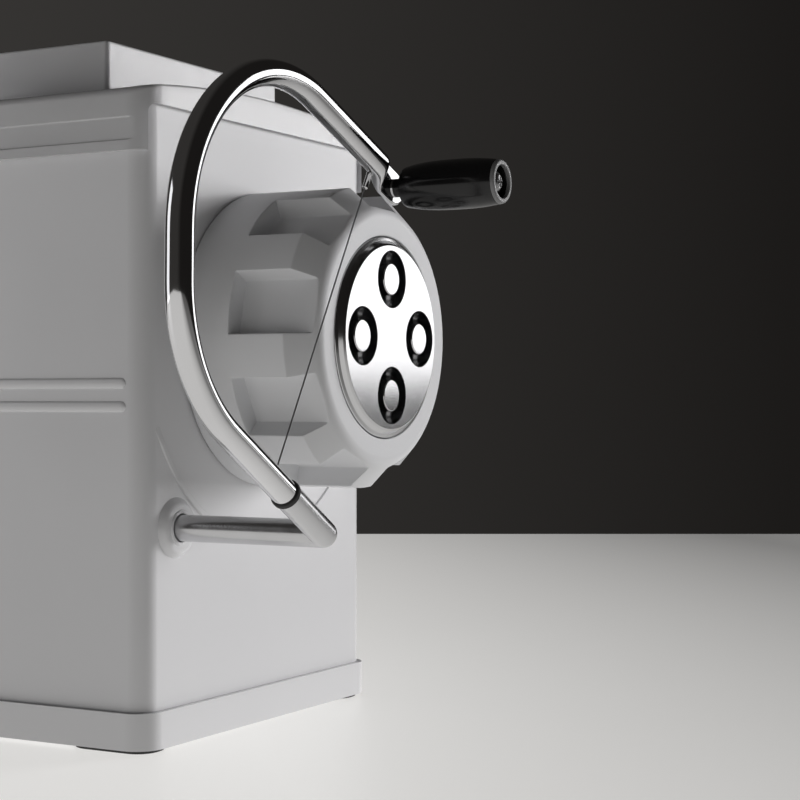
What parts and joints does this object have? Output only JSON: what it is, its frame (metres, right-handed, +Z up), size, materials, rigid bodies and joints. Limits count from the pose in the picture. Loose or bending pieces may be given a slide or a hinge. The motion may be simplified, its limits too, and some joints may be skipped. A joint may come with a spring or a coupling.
{
  "type": "crank pasta extruder",
  "caption": "Hand cranked pasta extruder: boxed housing with gear train and auger, clear hopper lid, die held by a ribbed ring nut, bowed crank with a cutting wire.",
  "frame": {"origin": "on the table plane in the middle of the four feet, 1.5 mm below the middle of the plinth's underside", "axes": "+Z up, -Y the front with the die, nut and crank, +X to the right seen from the front"},
  "size_m": [0.2349, 0.2897, 0.2675],
  "materials": {
    "white_plastic": "glossy moulded, white",
    "nut_plastic": "satin moulded, white",
    "clear_plastic": "glossy, clear with a light grey tone",
    "black_rubber": "dull black",
    "black_plastic": "glossy black",
    "grey_plastic": "light grey",
    "food_plastic": "natural white",
    "gear_plastic": "natural cream",
    "chrome": "bright chrome plate on steel",
    "polished_die": "polished",
    "zinc_steel": "zinc plated",
    "steel_wire": "drawn stainless wire",
    "cast_aluminium": "fine cast and turned",
    "brass": "turned"
  },
  "bodies": {
    "machine": {"housing": "white_plastic", "base": "white_plastic", "feet": "black_rubber", "base_screws": "zinc_steel", "barrel": "cast_aluminium", "barrel_screws": "zinc_steel", "gear_plate_front": "zinc_steel", "gear_plate_rear": "zinc_steel", "gear_plate_pillars": "zinc_steel", "gear_plate_bolts": "zinc_steel", "auger_bushes": "brass", "drive_shaft_bushes": "brass", "crank_bush": "brass", "idler_pin": "zinc_steel", "idler_clip": "zinc_steel", "thrust_washer": "brass", "hopper": "white_plastic"},
    "crank": {"crank_shaft": "chrome", "crank_seal_ring": "black_rubber", "crank_arm": "chrome", "cutting_wire": "steel_wire", "wire_ferrules": "chrome", "grip_screw": "chrome", "grip_washer": "chrome", "drive_socket": "zinc_steel", "socket_pin": "zinc_steel", "drive_shaft": "zinc_steel", "drive_pinion": "zinc_steel", "drive_clip": "zinc_steel"},
    "idler": {"idler_gear": "gear_plastic", "idler_bush": "brass"},
    "auger": {"auger": "food_plastic", "auger_gear": "gear_plastic", "auger_clip": "zinc_steel"},
    "grip": {"grip": "black_plastic", "grip_end_ring": "grey_plastic"},
    "die_set": {"die": "polished_die", "die_cores": "polished_die", "die_gasket": "black_rubber"},
    "ring_nut": {"ring_nut": "nut_plastic"},
    "lid": {"lid": "clear_plastic"}
  },
  "joints": [
    {"name": "crank_turn", "type": "hinge", "parent": "machine", "child": "crank", "pos_m": [-0.06055, 0, 0.0821], "axis": [0, 1, 0], "continuous": true},
    {"name": "idler_spin", "type": "hinge", "parent": "machine", "child": "idler", "pos_m": [-0.03929, 0.05, 0.10734], "axis": [0, 1, 0], "continuous": true},
    {"name": "auger_spin", "type": "hinge", "parent": "machine", "child": "auger", "pos_m": [0, 0.05, 0.154], "axis": [0, 1, 0], "continuous": true},
    {"name": "grip_spin", "type": "hinge", "parent": "crank", "child": "grip", "pos_m": [-0.00259, -0.175, 0.21133], "axis": [0, -1, 0], "continuous": true},
    {"name": "nut_turn", "type": "hinge", "parent": "die_set", "child": "ring_nut", "pos_m": [0, -0.118, 0.154], "axis": [0, -1, 0], "range_deg": [0, 30]},
    {"name": "die_out", "type": "slide", "parent": "machine", "child": "die_set", "axis": [0, -1, 0], "range_m": [0, 0.00033333]},
    {"name": "lid_lift", "type": "slide", "parent": "machine", "child": "lid", "axis": [0, 0, 1], "range_m": [0, 0.06]}
  ],
  "couplings": [
    {"joint": "idler_spin", "follows": "crank_turn", "ratio": -0.57143},
    {"joint": "auger_spin", "follows": "crank_turn", "ratio": 0.3},
    {"joint": "die_out", "follows": "nut_turn", "m_per_rad": 0.00063662}
  ]
}
